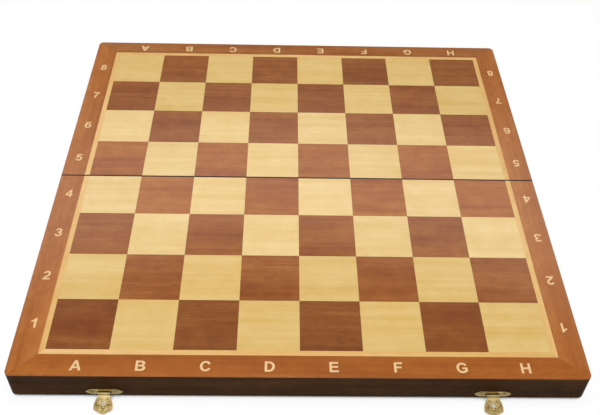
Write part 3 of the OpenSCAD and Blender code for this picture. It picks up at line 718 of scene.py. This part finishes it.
rims, lines, regions = tongueStamping(tongue, tongueOrnament)
for side, body in ((-1, "left_hasp"), (1, "right_hasp")):
    stamp(body + "Stamping", rims, lines, regions, onTongue(side), body)

# the two plates in their own plane, middle at 0
claspPlate = {"width": 31.2, "middle": 18.0, "height": 7.0, "slotHalf": 5.2, "nailX": 7.0, "nailGap": 1.25}
catchPlate = {"width": 28.0, "middle": 16.0, "height": 5.0, "slotHalf": 2.2, "nailX": 10.2, "nailGap": 1.2}
plateOrnament = {"leafFromTip": 3.8, "leafLength": 2.2, "leafWidth": 0.9, "leafOpen": 150,
                 "groundInset": 0.95, "tipOpen": 4}


def wing(p, margin):
    # right half of a plate outside its slot, clockwise from the upper inner corner
    point = (p["width"] - p["middle"]) / 2
    bend = (point ** 2 + (p["height"] / 2) ** 2) / p["height"]
    sweep = math.degrees(math.asin(point / bend)) - plateOrnament["tipOpen"]
    top = arc(p["middle"] / 2, p["height"] / 2 - bend, bend - margin, bend - margin, 90, 90 - sweep)
    bottom = [(x, -y) for x, y in reversed(top)]
    inner = p["slotHalf"] + margin
    return [(inner, top[0][1]), *top, *bottom, (inner, bottom[-1][1])]


def plateStamping(p):
    o = plateOrnament
    leaf = arc(p["width"] / 2 - o["leafFromTip"], 0, o["leafLength"], o["leafWidth"], o["leafOpen"],
               -o["leafOpen"])
    rims, lines, regions = [], [], []
    for hand in (1, -1):
        rims.append(handed(hand, wing(p, stamping["rimInset"])))
        rims.append(handed(hand, ringAt(p["nailX"], 0, p["nailGap"])))
        lines.append(handed(hand, leaf))
        regions.append(handed(hand, wing(p, o["groundInset"])))
    return rims, lines, regions


def overSlot(p):
    # the rim's beads over the slot of a clasp plate
    y = p["height"] / 2 - stamping["rimInset"]
    return [(-p["slotHalf"], y), (p["slotHalf"], y)]


for side, name in ((-1, "left"), (1, "right")):
    rims, lines, regions = plateStamping(claspPlate)
    stamp(name + "ClaspPlateStamping", rims + [overSlot(claspPlate)], lines, regions,
          onFront(side * clasps["x"], clasps["plateZ"]), "base")
    rims, lines, regions = plateStamping(catchPlate)
    stamp(name + "CatchPlateStamping", rims, lines, regions,
          onFront(-side * clasps["x"], clasps["catchZ"], turned=True), "lid")
print("brass stamped")


# the room glows behind the far side and is dim overhead, so the lacquer shines along the fold
room = {"below": 0.9, "low": 0.15, "glow": 1.5, "glowFrom": 41.5, "glowTo": 45.0, "fade": 5.0,
        "overhead": 0.04}

world = bpy.data.worlds.new("studio")
bpy.context.scene.world = world
world.use_nodes = True
studio = Wiring(world.node_tree)
brightest = max(room["glow"], room["below"], room["low"])


def levelAt(degrees, level):
    return (0.5 + 0.5 * math.sin(math.radians(degrees)), level / brightest)


direction = studio.add("ShaderNodeTexCoord").outputs["Generated"]
height = studio.add("ShaderNodeSeparateXYZ", {0: direction}).outputs["Z"]
unit = studio.add("ShaderNodeMapRange", {"Value": height, "From Min": -1.0}).outputs[0]  # 0..1
levels = studio.ramp(unit, [
    levelAt(-4, room["below"]), levelAt(0, room["low"]),
    levelAt(room["glowFrom"] - room["fade"], room["low"]), levelAt(room["glowFrom"], room["glow"]),
    levelAt(room["glowTo"], room["glow"]), levelAt(room["glowTo"] + room["fade"], room["overhead"]),
    levelAt(90, room["overhead"])])
level = studio.math("MULTIPLY", levels, brightest)
seen = studio.add("ShaderNodeLightPath").outputs["Is Camera Ray"]
white = studio.add("ShaderNodeMix", {0: seen, 2: level, 3: 1.0}).outputs[0]  # the camera sees white
sky = studio.add("ShaderNodeBackground", {"Strength": white, "Color": (1, 1, 1, 1)})
studio.add("ShaderNodeOutputWorld", {0: sky.outputs[0]})

lamps = {  # a softbox overhead, and a weak card in front that the brass mirrors
    "softbox": {"power": 24.3, "size": 0.8, "place": (-0.1, 0.05, 1.8)},
    "frontCard": {"power": 5.0, "size": 1.2, "place": (0.0, -0.8, 1.4)}}

for name, lampSet in lamps.items():
    lampData = bpy.data.lights.new(name, "AREA")
    lampData.shape = "SQUARE"
    lampData.size = lampSet["size"]
    lampData.energy = lampSet["power"]
    lamp = bpy.data.objects.new(name, lampData)
    lamp.location = lampSet["place"]
    lamp.rotation_euler = (-Vector(lampSet["place"])).to_track_quat("-Z", "Y").to_euler()
    bpy.context.scene.collection.objects.link(lamp)

# the table looks white to the camera and in reflections, but the shade close to the box stays
table = {"reach": 4.0, "colour": 0.95, "roughness": 0.8, "veil": 0.9, "shadeReach": 7.0,
         "shadeFull": 0.4, "shadeNone": 0.55}
reach = table["reach"]
floorMesh = bpy.data.meshes.new("tableTop")
corners = [(-reach, -reach, 0), (reach, -reach, 0), (reach, reach, 0), (-reach, reach, 0)]
floorMesh.from_pydata(corners, [], [(0, 1, 2, 3)])
floor = bpy.data.objects.new("tableTop", floorMesh)
bpy.context.scene.collection.objects.link(floor)
s = Shader("paleTable")
s.set(color=(table["colour"], table["colour"], table["colour"], 1), roughness=table["roughness"],
      specular=0.2)
glow = s.add("ShaderNodeEmission", {"Color": (1, 1, 1, 1), "Strength": 1.0})
rays = s.add("ShaderNodeLightPath").outputs
direct = s.math("MAXIMUM", rays["Is Camera Ray"], rays["Is Glossy Ray"])
direct = s.math("MAXIMUM", direct, rays["Is Transmission Ray"])
near = s.add("ShaderNodeAmbientOcclusion", {"Distance": table["shadeReach"] * mm}, samples=8)
clear = s.add("ShaderNodeMapRange", {"Value": near.outputs["AO"], "From Min": table["shadeFull"],
                                     "From Max": table["shadeNone"]}).outputs[0]
share = s.math("MULTIPLY", s.math("MULTIPLY", direct, table["veil"]), clear)
veil = s.add("ShaderNodeMixShader", {0: share, 1: s.bsdf.outputs[0], 2: glow.outputs[0]})
s.put(s.out.inputs[0], veil.outputs[0])
floorMesh.materials.append(s.mat)

camera = {"place": (-0.01647, -0.62328, 0.61161), "turn": (44.9406, -1.3292, -0.4304), "lens": 49.145}
camData = bpy.data.cameras.new("photoView")
camData.sensor_width = 36
camData.lens = camera["lens"]
cam = bpy.data.objects.new("photoView", camData)
cam.location = camera["place"]
cam.rotation_euler = [math.radians(a) for a in camera["turn"]]
bpy.context.scene.collection.objects.link(cam)
bpy.context.scene.camera = cam
bpy.context.scene.view_settings.view_transform = "Standard"
print("stage and camera set")
